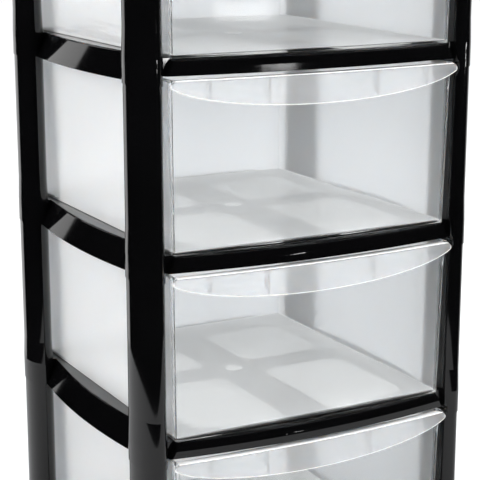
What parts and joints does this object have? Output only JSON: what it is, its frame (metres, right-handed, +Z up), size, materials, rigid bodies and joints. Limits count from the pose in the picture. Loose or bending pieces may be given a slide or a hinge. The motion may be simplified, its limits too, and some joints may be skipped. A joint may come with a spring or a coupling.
{
  "type": "drawer tower",
  "caption": "Free-standing tower of milky clear sliding drawers on glossy black shelf mouldings joined by oval post tubes",
  "frame": {"origin": "on the floor, midway between the four feet", "axes": "+Z up, -Y towards the drawer fronts, +X to the right seen from the front"},
  "size_m": [0.3905, 0.3806, 0.7895],
  "materials": {
    "frame_plastic": "polished injection-moulded black plastic",
    "foot_plastic": "satin moulded black plastic",
    "drawer_plastic": "milky translucent polypropylene, smooth outside"
  },
  "bodies": {
    "tower": {"base_frame": "frame_plastic", "shelf_frame_1": "frame_plastic", "shelf_frame_2": "frame_plastic", "shelf_frame_3": "frame_plastic", "top_cover": "frame_plastic", "post_front_left_1": "frame_plastic", "post_front_right_1": "frame_plastic", "post_rear_left_1": "frame_plastic", "post_rear_right_1": "frame_plastic", "post_front_left_2": "frame_plastic", "post_front_right_2": "frame_plastic", "post_rear_left_2": "frame_plastic", "post_rear_right_2": "frame_plastic", "post_front_left_3": "frame_plastic", "post_front_right_3": "frame_plastic", "post_rear_left_3": "frame_plastic", "post_rear_right_3": "frame_plastic", "post_front_left_4": "frame_plastic", "post_front_right_4": "frame_plastic", "post_rear_left_4": "frame_plastic", "post_rear_right_4": "frame_plastic", "foot_front_left": "foot_plastic", "foot_front_right": "foot_plastic", "foot_rear_left": "foot_plastic", "foot_rear_right": "foot_plastic"},
    "drawer_1_body": {"drawer_1": "drawer_plastic"},
    "drawer_2_body": {"drawer_2": "drawer_plastic"},
    "drawer_3_body": {"drawer_3": "drawer_plastic"},
    "drawer_4_body": {"drawer_4": "drawer_plastic"}
  },
  "joints": [
    {"name": "drawer_1_slide", "type": "slide", "parent": "tower", "child": "drawer_1_body", "axis": [0, -1, 0], "range_m": [0, 0.27]},
    {"name": "drawer_2_slide", "type": "slide", "parent": "tower", "child": "drawer_2_body", "axis": [0, -1, 0], "range_m": [0, 0.27]},
    {"name": "drawer_3_slide", "type": "slide", "parent": "tower", "child": "drawer_3_body", "axis": [0, -1, 0], "range_m": [0, 0.27]},
    {"name": "drawer_4_slide", "type": "slide", "parent": "tower", "child": "drawer_4_body", "axis": [0, -1, 0], "range_m": [0, 0.27]}
  ]
}
